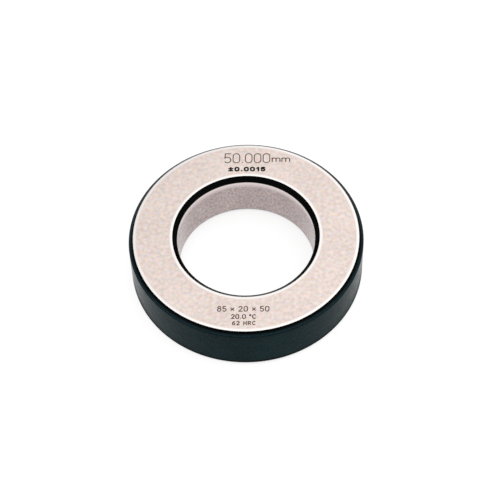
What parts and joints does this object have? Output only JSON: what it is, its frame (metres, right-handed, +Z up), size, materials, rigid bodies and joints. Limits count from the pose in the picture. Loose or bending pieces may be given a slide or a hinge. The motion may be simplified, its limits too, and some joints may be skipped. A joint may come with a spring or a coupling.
{
  "type": "setting ring gauge",
  "caption": "Plain round setting ring with ground faces, a lapped through bore and black chamfers and rim, for setting bore gauges to size.",
  "frame": {"origin": "centre of the bottom ground face, on the axis of the bore", "axes": "+Z up along the axis of the bore, from the bottom face to the marked top face; +Y points to the place of the size mark"},
  "size_m": [0.085, 0.085, 0.02],
  "materials": {
    "gauge_steel": "hardened tool steel: finely ground faces, a lapped bore, and black oxide on the rim and chamfers"
  },
  "bodies": {
    "root": {"gauge_ring": "gauge_steel"}
  },
  "joints": []
}
